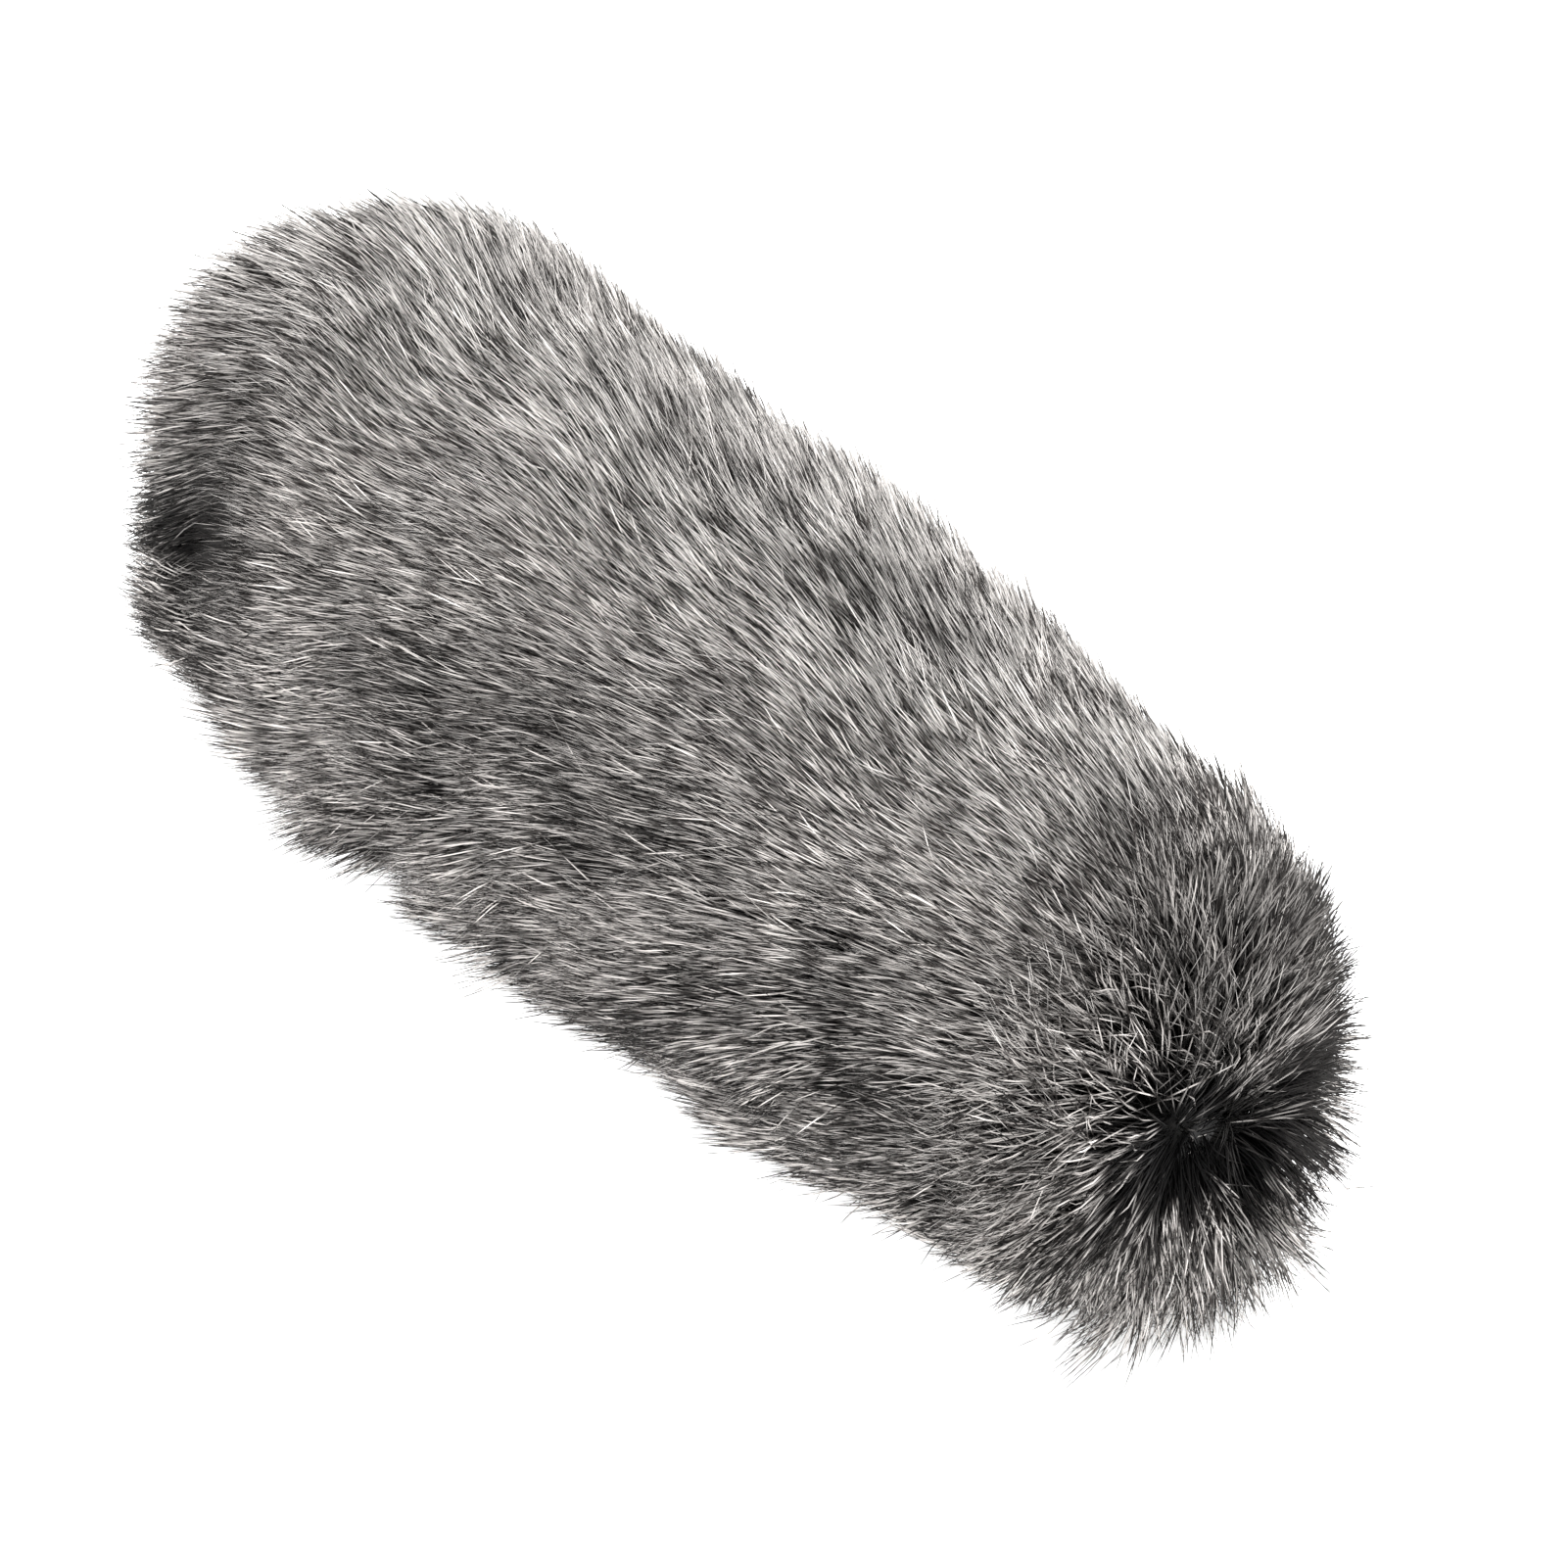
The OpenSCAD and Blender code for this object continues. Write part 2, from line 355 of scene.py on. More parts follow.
# ---------------------------------------------------------------- the pile
# Directions square to the bore: NEAR_SIDE is the barrel's lower front, OVER is above it.
NEAR_SIDE = np.array([0.0, -0.893, -0.450])
OVER = np.array([0.0, -0.450, 0.893])
COMB_TOP = np.array([0.0, -0.271, 0.962])
NOSE_UNDER = np.array([0.0, 0.25, -0.968])
SEAM_NORMAL = np.array([0.0, -math.cos(SEAM_TURN), math.sin(SEAM_TURN)])
WHORL = np.array([NOSE_X + 3 * MM, 5.3 * MM, -3.9 * MM])
PARTING = np.array([0.0, 0.725, -0.689])
PARTING_ENDS = (-13 * MM, 1 * MM)
NOSE_FAR_LOW = np.array([0.0, 0.85, -0.53])

# Dents in the pile: the place in mm, how wide along X and around, and how deep; the depth also darkens
# the pile there, as painted shade in the hollows
DENTS = [
    ((19, -37, 22), 12, 19, 1.35),
    ((187, -1, 44), 7, 5, 0.7),
    ((188, -27, 35), 6, 5, 0.9),
    ((126, -31, 33), 8, 4, 0.6),
    ((162, -36, 27), 9, 4, 0.6),
    ((135, -45, 6), 10, 5, 0.7),
    ((176, -44, 10), 9, 6, 0.6),
    ((112, -40, -12), 12, 9, 0.45),
    ((72, -42, -13), 9, 7, 0.35),
]

turn_noise = Waves(42 * MM, 3)
turn_fine = Waves(14 * MM, 4)
lift_noise = Waves(30 * MM, 5)
lift_fine = Waves(10 * MM, 6)
shade_noise = Waves(30 * MM, 7)
shade_fine = Waves(9 * MM, 8)
length_noise = Waves(20 * MM, 9)
gap_noise = Waves(15 * MM, 12)

# The pile that shows in a dent is rooted this far ahead of it, in mm
DENT_LEAD = 11

# How high the pile stands along X, as a share of its height at the middle
STAND_X = np.array([-8, 8, 32, 120, 150, 170, 186, 193]) * MM
STAND = np.array([0.86, 1.0, 1.04, 1.0, 0.88, 0.74, 0.68, 0.68])


def roots(count, generator):
    """Random points on the backing's outer face, with their normals and backward tangents."""
    r_mid = (root_line[1:, 1] + root_line[:-1, 1]) / 2
    step = np.diff(root_along)
    x_mid = (root_line[1:, 0] + root_line[:-1, 0]) / 2
    crowd = 1 - 0.30 * smoothstep(NOSE_X - 16 * MM, NOSE_X - 2 * MM, x_mid)
    weight = np.cumsum(r_mid * step * crowd)
    s = np.interp(generator.random(count) * weight[-1], np.r_[0, weight], root_along)
    x = np.interp(s, root_along, root_line[:, 0])
    r = np.interp(s, root_along, root_line[:, 1])
    tangent = unit(np.gradient(root_line, root_along, axis=0))
    tx = np.interp(s, root_along, tangent[:, 0])
    tr = np.interp(s, root_along, tangent[:, 1])
    a = generator.random(count) * 2 * math.pi
    out = np.stack([np.zeros(count), np.cos(a), np.sin(a)], 1)
    p = out * r[:, None]
    p[:, 0] = x
    n = out * tx[:, None]
    n[:, 0] = -tr
    back = -out * tr[:, None]
    back[:, 0] = -tx
    return p, unit(n), unit(back)


def flatten(v, n):
    """The part of v that lies along the cloth whose normal is n."""
    return v - (v * n).sum(1)[:, None] * n


def dents(p):
    """How deep in a dent the pile rooted at each point is, from 0 up."""
    deep = np.zeros(len(p))
    radial = unit(p * [0, 1, 1])
    for place, along, around, depth in DENTS:
        off = p - (np.array(place) + [DENT_LEAD, 0, 0]) * MM
        off -= (off * radial).sum(1)[:, None] * radial
        apart = (off[:, 0] / along) ** 2 + (off[:, 1] ** 2 + off[:, 2] ** 2) / around**2
        deep = np.maximum(deep, depth * np.exp(-apart / MM**2))
    return deep


def off_parting(p):
    """From the nearest point of the parting, the short line that the nose's pile leaves."""
    off = p - WHORL
    along = np.clip(off @ PARTING, *PARTING_ENDS)
    return off - along[:, None] * PARTING


class Places:
    """What the pile's rules ask about the places where strands are rooted."""

    def __init__(self, p, n, back):
        self.p, self.n, self.back = p, n, back
        self.x = p[:, 0]
        self.radial = unit(p * [0, 1, 1])
        self.side = self.radial @ NEAR_SIDE
        self.over = self.radial @ OVER
        self.rear = smoothstep(46 * MM, 6 * MM, self.x)
        self.face = smoothstep(NOSE_X - 10 * MM, NOSE_X - 2 * MM, self.x)
        self.from_whorl = unit(p - WHORL)
        ahead = 8 * MM * smoothstep(0.2, -0.2, self.from_whorl @ SEAM_NORMAL)
        self.loose = smoothstep(NOSE_X - 16 * MM, NOSE_X - 4 * MM, self.x + ahead)
        self.rough = 0.20 + 0.80 * smoothstep(0.1, 0.9, self.side) + 0.5 * self.loose
        self.deep = dents(p)
        self.off_parting = off_parting(p)
        self.from_bare = np.linalg.norm(self.off_parting, axis=1)
        far_low = smoothstep(0.0, 0.7, unit(self.off_parting) @ NOSE_FAR_LOW)
        self.far_low = self.face * far_low
        tuft = smoothstep(NOSE_X - 8 * MM, NOSE_X - 1 * MM, self.x)
        self.tuft = tuft * smoothstep(-0.45, -0.85, self.side)
        gap = smoothstep(-0.2, 0.7, self.side) * smoothstep(0.38, 0.95, gap_noise(p))
        self.gap = gap * (1 - self.face)

    def pushed(self, direction):
        """One direction for every place, laid along the cloth."""
        return flatten(np.broadcast_to(direction, self.p.shape), self.n)


def combed(at):
    """Direction that the pile lies in, and how much it leans off the seam over the nose."""
    # on the barrel the pile runs back, falls away from the top line, and is swept at the rear
    lay = at.back + 0.28 * at.pushed(-COMB_TOP)
    lay += 0.12 * np.cross([1.0, 0, 0], at.radial)
    swept = at.rear * smoothstep(0.0, 0.7, at.over)
    swept = swept * smoothstep(8 * MM, 22 * MM, np.hypot(at.p[:, 1], at.p[:, 2]))
    lay += 0.55 * swept[:, None] * at.pushed([0, -1.0, 0])

    # on the nose it runs out from the parting and hangs
    nose_lay = unit(flatten(at.off_parting, at.n)) + 0.22 * at.pushed([0.0, 0, -1.0])
    lay = unit(lay) * (1 - at.face)[:, None] + unit(nose_lay) * at.face[:, None]

    # over the top of the nose it leans away from the arch seam
    off_seam = (at.p - WHORL) @ SEAM_NORMAL
    above = smoothstep(0.25, -0.25, at.from_whorl @ NEAR_SIDE)
    zone = smoothstep(GORE_X + 8 * MM, GORE_X + 20 * MM, at.x) * above
    lean = zone * np.exp(-((off_seam / (8 * MM)) ** 2)) * np.tanh(off_seam / (1.5 * MM))
    lay = unit(lay + 0.9 * lean[:, None] * SEAM_NORMAL)

    tousle = 0.12 + 0.14 * smoothstep(0.2, 0.9, at.side) + 0.26 * at.loose
    angle = tousle * (0.6 * turn_noise(at.p) + 0.5 * turn_fine(at.p)) + 0.25 * at.deep
    cross = np.cross(at.n, lay)
    return unit(lay * np.cos(angle)[:, None] + cross * np.sin(angle)[:, None]), lean


def standing(at):
    """How high the pile stands, as a share of its height at the barrel's middle."""
    stand = np.interp(at.x, STAND_X, STAND) * (1 - 0.42 * at.deep)
    stand *= 1 - 0.30 * smoothstep(130 * MM, 178 * MM, at.x) * smoothstep(0.3, 0.9, at.side)
    nose_under = smoothstep(0.1, 0.9, at.radial @ NOSE_UNDER)
    nose_under = nose_under * smoothstep(NOSE_X - 30 * MM, NOSE_X - 8 * MM, at.x)
    stand *= 1 + 0.42 * nose_under
    stand *= 1 + 0.10 * (at.rear * smoothstep(0.6, 0.95, at.over))
    stand *= 1 - 0.16 * smoothstep(-0.6, -0.95, at.side) * smoothstep(125 * MM, 50 * MM, at.x)
    stand *= 1 + 0.09 * at.rough * length_noise(at.p)
    stand *= 1 - 0.16 * at.gap
    return stand


def lifts(at, stand):
    """The angle that strands make with the cloth, at the root and at the tip."""
    flat_near = 0.42 + 0.58 * smoothstep(5 * MM, 19 * MM, at.from_bare)
    flat_near += (1.08 - flat_near) * at.far_low
    stray = lift_noise(at.p)
    lift0 = 0.96 * stand + 0.08 * stray * at.rough + 0.25 * at.face + 0.06 * at.tuft
    lift1 = 0.33 * stand + 0.11 * stray * at.rough + 0.05 * lift_fine(at.p)
    lift1 = lift1 + 0.20 * at.face + 0.06 * at.tuft + 0.48 * at.far_low
    return lift0 * flat_near, lift1


def lengths(at, stand):
    """How long the strands are, shorter where they would stand out of the shape."""
    length = 26.5 * MM * (0.45 + 0.55 * stand) * (1 + 0.22 * at.face)
    rear_face = smoothstep(0.25, 0.9, -at.n[:, 0]) * (at.x < 0.1) * smoothstep(-0.3, 0.4, at.side)
    nose_side = smoothstep(NOSE_X - 26 * MM, NOSE_X - 10 * MM, at.x)
    nose_side = nose_side * smoothstep(0.80, 0.97, at.side)
    rear_corner = at.rear * np.exp(-(((at.over - 0.42) / 0.28) ** 2)) * smoothstep(0, 0.5, at.side)
    cut = (1 - 0.48 * rear_face) * (1 - 0.40 * nose_side)
    length *= cut * (1 - 0.42 * at.far_low) * (1 - 0.50 * rear_corner)
    nose_far = smoothstep(NOSE_X - 14 * MM, NOSE_X - 2 * MM, at.x)
    length *= 1 - 0.30 * nose_far * smoothstep(-0.6, -0.9, at.side)
    return length


def shades(at, lean):
    """How much lighter or darker than the rest the pile is, with painted shade in the dents and on its
    sides.
    """
    fine = shade_fine(at.p)
    patch = smoothstep(0.45, 1.2, -shade_noise(at.p) + 0.4 * fine)
    # painted shade: the pile in the dents is made much darker
    shade = 0.09 * fine - 0.32 * patch - 0.03 * smoothstep(0.0, 0.9, at.side) - 0.75 * at.deep
    # painted shade on the sides: the line above makes the near side a little darker, and this one the
    # top and far side, which the key light leaves bright
    shade -= 0.06 * smoothstep(0.1, -0.6, at.side)
    shade -= 0.50 * at.gap
    shade -= 0.55 * np.abs(lean) + 0.05 * at.loose + 0.32 * at.tuft
    shade -= 0.35 * at.face * smoothstep(14 * MM, 4 * MM, at.from_bare)
    return shade


# Where a strand's three rings and its tip are, as shares of its length
STATIONS = np.array([0.0, 0.36, 0.70, 1.0])
RINGS = len(STATIONS) - 1
TAPER = np.array([0.75, 1.0, 0.8])


def outward(q):
    """The core's outward direction at points q, wherever they are in the pile."""
    x, r = q[:, 0], np.hypot(q[:, 1], q[:, 2])
    rear_x, rear_r = REAR_X + REAR_ROUND, CORE_R - REAR_ROUND
    nose_x, nose_r = NOSE_X - NOSE_ROUND, CORE_R - NOSE_ROUND
    nx = np.minimum(x - rear_x, 0) + np.maximum(x - nose_x, 0)
    at_end = nx != 0
    nr = np.where(x > nose_x, np.maximum(r - nose_r, 0), np.maximum(r - rear_r, 0))
    nr = np.where(at_end, nr, 1.0)
    size = np.maximum(np.hypot(nx, nr), 1e-9)
    radial = q * [0, 1, 1] / np.maximum(r, 1e-9)[:, None]
    n = radial * (nr / size)[:, None]
    n[:, 0] = nx / size
    return n


def curves_from(p, n, lay, lift0, lift1, length, bend):
    """The points of each strand, (count, RINGS + 1, 3): it rises from the root and lies over."""
    fine = 15
    step = (length / fine)[:, None]
    follow = np.where(p[:, 0] < REAR_X + REAR_ROUND, 0.35, 0.85)[:, None]
    q, points = p.copy(), [p.copy()]
    for k in range(fine):
        u = (k + 0.5) / fine
        local = unit(n * (1 - follow * u) + outward(q) * follow * u)
        lay = unit(flatten(lay, local))
        lay = unit(lay + np.cross(local, lay) * (bend / fine)[:, None])
        lift = (lift0 + (lift1 - lift0) * u**0.55)[:, None]
        q = q + (lay * np.cos(lift) + local * np.sin(lift)) * step
        points.append(q)
    at = np.round(STATIONS * fine).astype(int)
    return np.stack([points[i] for i in at], 1)


def settle(curve):
    """Gravity and the table: free tips droop, and nothing goes below the floor."""
    radial = unit(curve[:, 0] * [0, 1, 1])
    under = smoothstep(-0.3, 0.8, -radial[:, 2])
    nose = smoothstep(NOSE_X - 16 * MM, NOSE_X, curve[:, 0, 0])
    away = smoothstep(0.9, 0.2, radial @ NEAR_SIDE) * smoothstep(0.5, -0.1, radial[:, 2])
    sag = (0.7 + 1.2 * under + 3.8 * nose * away) * MM
    curve[..., 2] -= sag[:, None] * STATIONS[None, :] ** 2
    floor = FLOOR_Z + 0.25 * MM
    room = 3.5 * MM
    z = curve[..., 2]
    pressed = floor + room * np.exp(np.minimum((z - floor - room) / room, 0))
    curve[..., 2] = np.where(z < floor + room, pressed, z)
    return curve


def build_pile(count, clumps):
    """Each strand's points, the cloth's normal at its root, its lightness and looseness."""
    guide_rng = np.random.default_rng(11)
    gp, gn, gb = roots(clumps, guide_rng)
    at = Places(gp, gn, gb)
    lay, lean = combed(at)
    stand = standing(at)
    lift0, lift1 = lifts(at, stand)
    length = lengths(at, stand)
    shade = shades(at, lean)
    loose = at.loose
    bend = 0.08 + 0.42 * loose
    turn = guide_rng.normal(0, 1, clumps) * (0.10 + 0.17 * loose)
    lay = unit(lay * np.cos(turn)[:, None] + np.cross(gn, lay) * np.sin(turn)[:, None])
    lift0 = lift0 + guide_rng.normal(0, 0.06, clumps)
    lift1 = lift1 + guide_rng.normal(0, 1, clumps) * (0.05 + 0.17 * loose)
    near = smoothstep(0.0, 0.9, at.side)
    shade = shade + guide_rng.normal(0, 1, clumps) * (0.07 + 0.19 * near)
    clump_bend = guide_rng.normal(0, 1, clumps) * bend
    guides = curves_from(gp, gn, lay, lift0, lift1, length, clump_bend)

    tree = KDTree(clumps)
    for i, q in enumerate(gp):
        tree.insert(q, i)
    tree.balance()
    p, n, _ = roots(count, rng)

    # the pile is thin along the parting, where the cloth shows
    bare = np.exp(-((np.linalg.norm(off_parting(p), axis=1) / (5.5 * MM)) ** 4))
    kept = rng.random(count) > 0.45 * bare
    p, n = p[kept], n[kept]
    count = len(p)
    owner = np.array([tree.find(q)[1] for q in p])

    # each strand goes its clump's way, a little off it, and is drawn to it at the tip
    free = rng.random(count) < 0.10 + 0.20 * loose[owner]
    wobble = np.where(free, 0.24, 0.12)
    way = unit(lay[owner] + rng.normal(0, 1, (count, 3)) * wobble[:, None])
    way = unit(flatten(way, n))
    own = curves_from(
        p,
        n,
        way,
        lift0[owner] + rng.normal(0, 0.10, count),
        lift1[owner] + rng.normal(0, 0.06, count) + np.where(free, 0.03, 0.0),
        length[owner] * rng.uniform(0.68, 1.10, count),
        clump_bend[owner] + rng.normal(0, 0.6, count) * bend[owner],
    )
    pull = np.where(free, 0.0, rng.uniform(0.0, 0.35, count))[:, None]
    pull = pull * STATIONS[None, :] ** 1.3
    spread = guides[owner] + (p - gp[owner])[:, None] * 0.4
    curve = own * (1 - pull)[..., None] + spread * pull[..., None]

    # salt and pepper: most strands are pale, some stay dark up to the tip
    dark = rng.random(count) < 0.22 + 0.16 * near[owner]
    lightness = np.where(dark, rng.uniform(0.0, 0.25, count), rng.normal(0.84, 0.14, count))
    lightness = np.clip(lightness + shade[owner], 0.02, 0.98)
    return settle(curve), n, lightness, loose[owner]


def strand_mesh(name, curve, normal, lightness, onset, thick):
    """Closed three-sided tapering tubes: three rings and a tip each."""
    count = len(curve)
    along = unit(np.gradient(curve, axis=1))
    side = unit(np.cross(along, normal[:, None]))
    up = np.cross(side, along)
    per = 3 * RINGS + 1
    verts = np.empty((count, per, 3))
    for ring in range(RINGS):
        for corner in range(3):
            a = math.pi / 2 + corner * 2 * math.pi / 3
            offset = side[:, ring] * math.cos(a) + up[:, ring] * math.sin(a)
            offset = offset * (thick * TAPER[ring])[:, None]
            verts[:, ring * 3 + corner] = curve[:, ring] + offset
    verts[:, -1] = curve[:, -1]
    quads = []
    for ring in range(RINGS - 1):
        for corner in range(3):
            here, after = ring * 3 + corner, ring * 3 + (corner + 1) % 3
            quads.append((here, after, after + 3, here + 3))
    last = (RINGS - 1) * 3
    tips = [(last + c, last + (c + 1) % 3, last + 3) for c in range(3)]
    cap = [(2, 1, 0)]
    loops = np.concatenate([np.ravel(f) for f in (quads, tips, cap)])
    sizes = np.array([4] * len(quads) + [3] * len(tips) + [3])
    base = (np.arange(count) * per)[:, None]
    all_loops = (base + loops[None, :]).ravel().astype(np.int32)
    all_sizes = np.tile(sizes, count)
    starts = np.concatenate([[0], np.cumsum(all_sizes)[:-1]]).astype(np.int32)

    mesh = bpy.data.meshes.new(name)
    mesh.vertices.add(count * per)
    mesh.vertices.foreach_set("co", verts.reshape(-1).astype(np.float32))
    mesh.loops.add(len(all_loops))
    mesh.loops.foreach_set("vertex_index", all_loops)
    mesh.polygons.add(len(starts))
    mesh.polygons.foreach_set("loop_start", starts)
    mesh.update(calc_edges=True)
    mesh.polygons.foreach_set("use_smooth", np.ones(len(starts), bool))

    # each strand keeps to one narrow column of the map, and runs up it
    v_of = np.concatenate([np.repeat(STATIONS[:RINGS], 3), [1.0]])
    columns = 256
    col = (np.floor(lightness * columns) + 0.5) / columns
    u = col[:, None] + ((loops % 3) - 1)[None, :] * (0.25 / columns)
    v = 0.01 + 0.98 * v_of[loops][None, :] ** onset[:, None]
    uv = mesh.uv_layers.new(name="OFBake")
    uv.data.foreach_set("uv", np.stack([u, v], -1).reshape(-1).astype(np.float32))
    mesh.materials.append(FUR)
    return mesh


PER_PIECE = 12000
CLUMPS = 22000
strand_count = 160000
curve, normal, lightness, loose = build_pile(strand_count, CLUMPS)
thick = rng.uniform(0.10, 0.17, len(curve)) * MM
onset = rng.uniform(0.75, 1.5, len(curve)) * (1 - 0.25 * loose)
sleek = smoothstep(0.25, -0.5, unit(curve[:, 0] * [0, 1, 1]) @ NEAR_SIDE) * (1 - loose)
onset *= 1 - 0.6 * sleek
root_x = curve[:, 0, 0]


def pile_pieces(label, chosen):
    """The chosen strands as pieces of at most PER_PIECE strands, cut along the angle."""
    index = np.flatnonzero(chosen)
    angle = np.arctan2(curve[index, 0, 2], curve[index, 0, 1])
    index = index[np.argsort(angle, kind="stable")]
    parts = max(1, math.ceil(len(index) / PER_PIECE))
    for k, part in enumerate(np.array_split(index, parts)):
        name = f"{label}_pile_{k + 1}"
        mesh = strand_mesh(name, curve[part], normal[part], lightness[part], onset[part], thick[part])
        obj = link(name, mesh)
        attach(obj, "cover")


side_of_seam = curve[:, 0] @ SEAM_NORMAL
in_skirt = root_x < SKIRT_X
in_nose = root_x >= GORE_X
REGIONS = {
    "skirt": in_skirt,
    "sleeve": ~in_skirt & ~in_nose,
    "gore_front": in_nose & (side_of_seam >= 0),
    "gore_back": in_nose & (side_of_seam < 0),
}
for label, chosen in REGIONS.items():
    pile_pieces(label, chosen)

BACKINGS = {
    "skirt_backing": (0, SKIRT_X, ["fur_skirt"]),
    "sleeve_backing": (SKIRT_X, GORE_X, ["fur_sleeve"]),
    "nose_backing": (GORE_X, 1, ["nose_gore_front", "nose_gore_back"]),
}
for name, (x0, x1, nodes) in BACKINGS.items():
    cloth = backing_piece(name, x0, x1, nodes)


# ---------------------------------------------------------------- the core's soft pieces
def between_x(line, x0, x1):
    """The (x, r) points of a line from x0 to x1, with its ends cut there."""
    inside = line[(line[:, 0] > x0) & (line[:, 0] < x1)]
    ends = [(x, float(np.interp(x, line[:, 0], line[:, 1]))) for x in (x0, x1)]
    return np.array([ends[0], *inside, ends[1]])


BORE_R = 12.2 * MM
foam_bumps = Waves(5 * MM, 21)
foam_skin = outline(-0.12 * MM, 12 * MM, 220)[0]


def foam_piece(name, x0, x1, hole_r, node_name, look, closed_to=None):
    """A turned foam piece under the stocking, bored out to hole_r, its skin faintly lumpy."""
    skin = between_x(foam_skin, x0, min(x1, foam_skin[-1, 0] - 1e-5))
    across = np.linspace(skin[-1, 1], hole_r, 6)[1:]
    if closed_to is None:
        front = [(skin[-1, 0], r) for r in across]
        bore = [(x, hole_r) for x in np.linspace(skin[-1, 0], x0, 24)[1:]]
    else:
        front = [(foam_skin[-1, 0], 0.0), (closed_to, 0.0), (closed_to, hole_r)]
        bore = [(x, hole_r) for x in np.linspace(closed_to, x0, 8)[1:]]
    back = [(x0, r) for r in np.linspace(hole_r, skin[0, 1], 6)[1:-1]]
    loop = np.array([*skin, *front, *bore, *back])

    def lumpy(x, r, angle):
        p = np.stack([np.full(len(angle), x), r * np.cos(angle), r * np.sin(angle)], 1)
        return 0.08 * MM * foam_bumps(p) - 0.08 * MM

    obj = revolve(name, loop, turns=128, ripple=lumpy, loop=True)
    slot = "open_foam" if look is FOAM else "closed_foam"
    finish_piece(obj, look, "core", slot, node_name)


FOAM_GAP = 0.05 * MM
RING_HOLE_R = 15.1 * MM
RING_LONG = 7.9 * MM
ring_x = REAR_X + 0.1 * MM
barrel_x = COLLAR_X + 0.1 * MM
nose_hole_x = pad_high[0] + 0.1 * MM
foam_piece("rear_foam_piece", ring_x, REAR_X + RING_LONG, RING_HOLE_R, "rear_foam_ring", CLOSED)
foam_piece("foam_barrel_piece", barrel_x, BARREL_X - FOAM_GAP, BORE_R + FOAM_GAP, "foam_barrel", FOAM)
foam_piece("foam_nose_piece", BARREL_X, NOSE_X, BORE_R + 0.1 * MM, "foam_nose", FOAM, nose_hole_x)

# the pad in the bore's blind end, a disc with rounded rims
PAD_R = 12.0 * MM
PAD_ROUND = 0.5 * MM
PAD_FLAT_R = 5 * MM
pad_x0 = pad_low[0] + 0.1 * MM
pad_x1 = pad_high[0] - 0.1 * MM
pad_line = [(pad_x0, 0), (pad_low[0], PAD_FLAT_R)]
quarter = np.linspace(0, math.pi / 2, 6)
for a in quarter:
    pad_line.append((pad_x0 + PAD_ROUND * (1 - math.cos(a)), PAD_R - PAD_ROUND * (1 - math.sin(a))))
for a in quarter:
    pad_line.append((pad_x1 - PAD_ROUND * (1 - math.sin(a)), PAD_R - PAD_ROUND * (1 - math.cos(a))))
pad_line += [(pad_x1, PAD_FLAT_R), (pad_x1, 0)]
pad = revolve("nose_pad_piece", np.array(pad_line), turns=64)
finish_piece(pad, CLOSED, "core", "closed_foam", "nose_pad")


def mesh_ribs(x, r, angle):
    """The diamond ribs of the bore's mesh."""
    return 0.05 * MM * np.cos(24 * angle) * math.cos(x / MM * 1.6)


LINER_IN_R = 11.45 * MM
liner_x = np.linspace(COLLAR_X + 0.05 * MM, pad_low[0] - 0.1 * MM, 160)
liner_line = np.stack([liner_x, np.full(len(liner_x), LINER_IN_R)], 1)
liner = revolve("bore_liner_piece", liner_line, turns=96, ripple=mesh_ribs)
thicken(liner, 0.6 * MM)
finish_piece(liner, MESH, "core", "mesh", "bore_liner")


def gathers(x, r, angle):
    """Folds where the stocking goes under the collar's outer flange, and its sewn ridge."""
    fade = smoothstep(REAR_X + 5 * MM, REAR_X, x)
    folds = 0.22 * fade * (0.6 + 0.4 * np.sin(17 * angle)) * np.cos(46 * angle + 2 * np.sin(5 * angle))
    seam = 0.30 * smoothstep(4, 20, r / MM) * np.exp(-(((angle - 1.5 * math.pi) * r / MM) ** 2))
    return (folds + seam) * MM


STOCKING_GROW = 0.06 * MM
STOCKING_MOUTH_R = 15.2 * MM
scrim_line, _ = outline(STOCKING_GROW, STOCKING_MOUTH_R, 260)
stocking = revolve("core_stocking", scrim_line, turns=256, ripple=gathers)
thicken(stocking, 0.42 * MM)
finish_piece(stocking, SCRIM, "core", "scrim", "core_scrim")

# ---------------------------------------------------------------- the cover's lining and tapes
LINING_GROW = 1.46 * MM
lining_line = outline(LINING_GROW, MOUTH_R, 260)[0]
lining_line = lining_line[lining_line[:, 0] >= SKIRT_X]


def creases(x, r, angle):
    """The lining is a little slack: long shallow ripples along the bore."""
    fade = smoothstep(SKIRT_X, SKIRT_X + 20 * MM, x) * smoothstep(NOSE_X - 6 * MM, NOSE_X - 30 * MM, x)
    return 0.05 * MM * fade * np.sin(19 * angle + 3 * math.sin(x / MM / 21)) - 0.05 * MM * fade


lining = revolve("lining_sheet", lining_line, turns=180, ripple=creases)
thicken(lining, 0.5 * MM)
finish_piece(lining, LINING, "cover", "lining", "cover_lining")


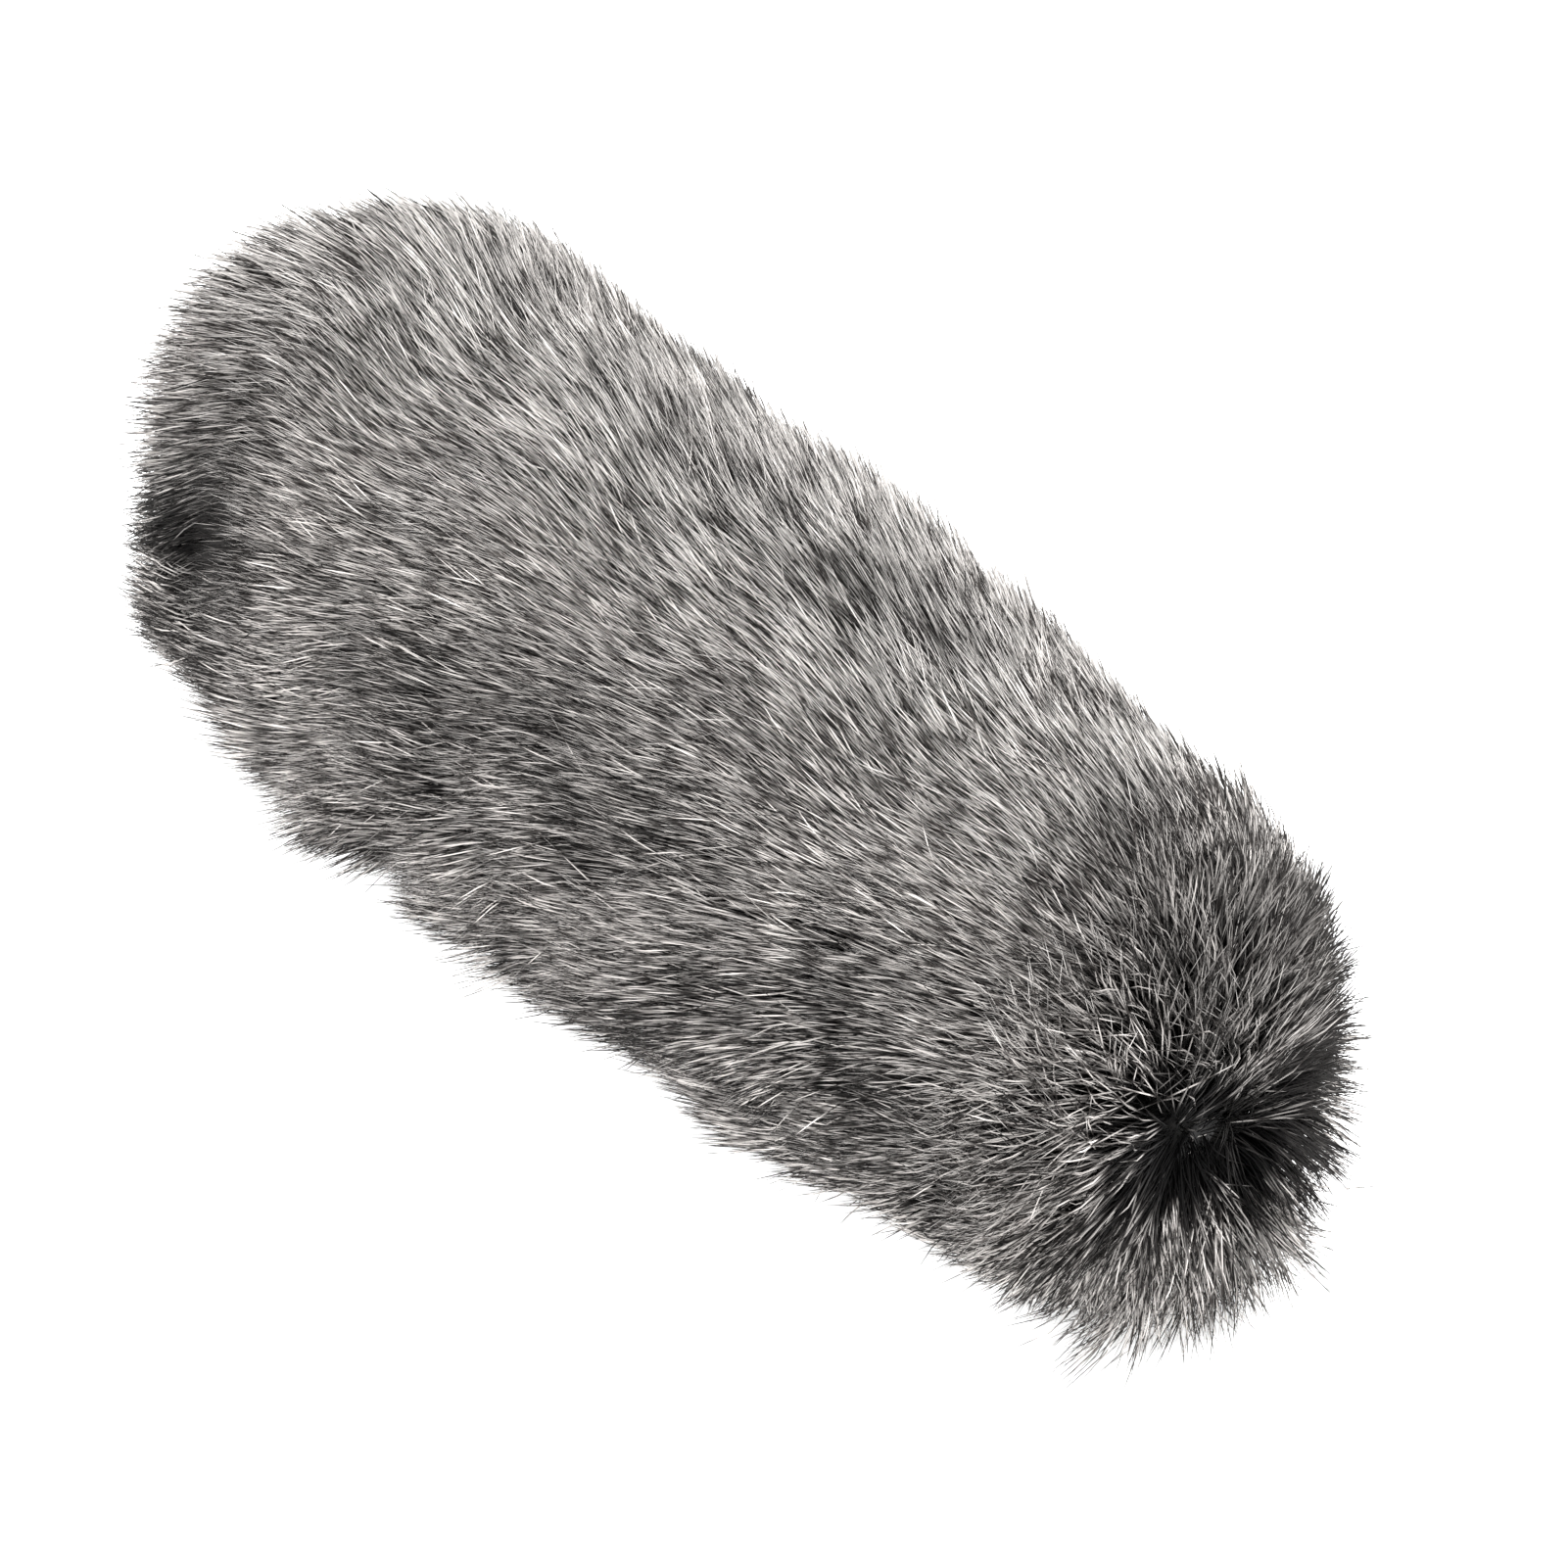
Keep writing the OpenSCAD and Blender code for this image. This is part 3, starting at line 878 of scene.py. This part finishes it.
def strip(name, centre, normal, across, bow, width, thick, node_name, closed=False):
    """A woven tape laid along centre: normal points out, across is its width, bow its curve."""
    u = np.array([-1, -0.97, -0.6, -0.2, 0.2, 0.6, 0.97, 1])
    rim = np.array([0.55, 0.9, 1, 1, 1, 1, 0.9, 0.55])
    count = len(centre)
    pucker = 0.04 * MM * np.cos(np.arange(count) * 1.3)
    rows = []
    for side, high in ((u, rim), (u[::-1], 0 * rim)):
        for k, h in zip(side, high):
            c = k * width / 2
            lift = h * thick + (pucker if h > 0 else 0) * (1 - abs(k)) - bow * c**2 / 2
            rows.append(centre + across * c + normal * np.reshape(lift, (-1, 1)))
    ring = len(rows)
    verts = np.stack(rows, 1).reshape(-1, 3)
    faces = []
    for i in range(count if closed else count - 1):
        m = (i + 1) % count
        for j in range(ring):
            k = (j + 1) % ring
            faces.append((i * ring + j, i * ring + k, m * ring + k, m * ring + j))
    if not closed:
        faces.append(tuple(range(ring)))
        faces.append(tuple((count - 1) * ring + j for j in reversed(range(ring))))
    obj = link(name, mesh_from(name, verts, faces))
    weld(obj.data)
    return finish_piece(obj, TAPE, "cover", "tape", node_name)


TAPE_W = 7.9 * MM
TAPE_CLEAR = 4.1 * MM
RING_TAPE_T = 0.9 * MM
SEAM_TAPE_T = 0.7 * MM
TAPE_GROW = 2.02 * MM
TAPE_R = 32.02 * MM
turn = np.linspace(0, 2 * math.pi, 192, endpoint=False)
ring_out = np.stack([0 * turn, np.cos(turn), np.sin(turn)], 1)
along_x = np.broadcast_to([1.0, 0, 0], ring_out.shape)
no_bow = 0 * turn


def ring_tape(node_name, x):
    """The tape inside a ring seam at x."""
    middle = ring_out * TAPE_R + [x, 0, 0]
    name = node_name + "_piece"
    return strip(name, middle, ring_out, along_x, no_bow, TAPE_W, RING_TAPE_T, node_name, closed=True)


skirt_tape = ring_tape("skirt_tape", SKIRT_X)
nose_ring_tape = ring_tape("nose_ring_tape", GORE_X)

SEAM_DOWN = np.array([0.0, -math.sin(SEAM_TURN), -math.cos(SEAM_TURN)])
run = np.linspace(SKIRT_X + TAPE_CLEAR, GORE_X - TAPE_CLEAR, 130)
middle = run[:, None] * [1.0, 0, 0] + TAPE_R * SEAM_DOWN
down = np.broadcast_to(SEAM_DOWN, middle.shape)
level = np.broadcast_to(SEAM_NORMAL, middle.shape)
bow = 0 * run + 1 / TAPE_R
sleeve_tape = strip(
    "sleeve_tape_piece", middle, down, level, bow, TAPE_W, SEAM_TAPE_T, "sleeve_tape"
)

# the tape over the nose runs up one side of the dome and down the other
half = outline(TAPE_GROW, MOUTH_R, 700)[0]
half = half[half[:, 0] > GORE_X + TAPE_CLEAR][::4]
arch = np.concatenate([half, half[-2::-1] * [1, -1]])
middle = arch[:, :1] * [1.0, 0, 0] + arch[:, 1:] * SEAM_DOWN
way = unit(np.gradient(middle, axis=0))
out = unit(np.cross(way, SEAM_NORMAL))
out *= np.sign(out[len(out) // 2, 0])
bow = np.abs(out @ SEAM_DOWN) / np.maximum(np.abs(arch[:, 1]), 4 * MM)
level = np.broadcast_to(SEAM_NORMAL, middle.shape)
arch_tape = strip(
    "nose_arch_tape_piece", middle, out, level, bow, TAPE_W, SEAM_TAPE_T, "nose_arch_tape"
)

# the hem: gathered cloth round the elastic, open at its slot, where it is stitched
HEM_X = 4.5 * MM
HEM_R = 18.2 * MM
HEM_TUBE_R = 1.55 * MM
GATHER = 0.13 * MM
rounds = np.linspace(math.radians(97), math.radians(443), 26)
turn = np.linspace(0, 2 * math.pi, 336, endpoint=False)
rows = []
for a in rounds:
    pleats = np.cos(42 * turn + 1.5 * np.sin(9 * turn))
    swell = HEM_TUBE_R + GATHER * pleats * abs(math.sin(a / 2))
    r = HEM_R + swell * math.sin(a)
    x = HEM_X + swell * math.cos(a)
    rows.append(np.stack([x, r * np.cos(turn), r * np.sin(turn)], 1))
verts = np.concatenate(rows)
size = len(turn)
faces = [
    (i * size + j, i * size + (j + 1) % size, (i + 1) * size + (j + 1) % size, (i + 1) * size + j)
    for i in range(len(rounds) - 1)
    for j in range(size)
]
casing = link("hem_casing_cloth", mesh_from("hem_casing_cloth", verts, faces))
weld(casing.data)
thicken(casing, 0.65 * MM, offset=-1)
finish_piece(casing, TAPE, "cover", "tape", "hem_casing")

# ---------------------------------------------------------------- stage, light and camera
FLOOR_HALF = 3
corners = [(-1, -1), (1, -1), (1, 1), (-1, 1)]
floor_verts = [(x * FLOOR_HALF, y * FLOOR_HALF, FLOOR_Z) for x, y in corners]
floor_mesh = mesh_from("floor", floor_verts, [(0, 1, 2, 3)])
floor = link("floor", floor_mesh)
floor_look, _, _, floor_shader = node_material("floor_paper", 0.9, 0.1)
floor_shader.inputs["Base Color"].default_value = (0.9, 0.9, 0.9, 1)
floor_shader.inputs["Emission Color"].default_value = (1, 1, 1, 1)
floor_shader.inputs["Emission Strength"].default_value = 0.5
floor.data.materials.append(floor_look)

world = bpy.data.worlds.new("studio")
bpy.context.scene.world = world
world.use_nodes = True
sky = world.node_tree.nodes["Background"]
sky.inputs["Color"].default_value = (1, 1, 1, 1)
sky.inputs["Strength"].default_value = 1.62


def softbox(name, place, target, size, power):
    """A round soft light at place that faces target."""
    data = bpy.data.lights.new(name, "AREA")
    data.shape = "DISK"
    data.size = size
    data.energy = power
    lamp = bpy.data.objects.new(name, data)
    bpy.context.scene.collection.objects.link(lamp)
    lamp.location = place
    lamp.rotation_euler = (target - place).to_track_quat("-Z", "Y").to_euler()


# where the camera looks, near the middle of the windscreen
centre = Vector((0.1074, 0.0010, 0.0015))
softbox("key", centre + Vector((0.35, 0.75, 0.85)), centre, 0.45, 30)
softbox("fill", centre + Vector((-0.6, -0.7, 0.9)), centre, 0.9, 16)

# the camera's angles, its lens and sensor in mm, and how wide it sees at the centre
VIEW_TURN = math.radians(45.15)
VIEW_LIFT = math.radians(53.4)
LENS = 135.0
SENSOR = 36
FIELD = 0.2325
away = Vector(
    (
        math.sin(VIEW_TURN) * math.cos(VIEW_LIFT),
        -math.cos(VIEW_TURN) * math.cos(VIEW_LIFT),
        math.sin(VIEW_LIFT),
    )
)
camera_data = bpy.data.cameras.new("camera")
camera_data.lens = LENS
camera_data.sensor_width = SENSOR
camera = bpy.data.objects.new("camera", camera_data)
bpy.context.scene.collection.objects.link(camera)
camera.location = centre + away * (FIELD * LENS / SENSOR)
camera.rotation_euler = away.to_track_quat("Z", "Y").to_euler()
bpy.context.scene.camera = camera
bpy.context.scene.view_settings.view_transform = "Standard"
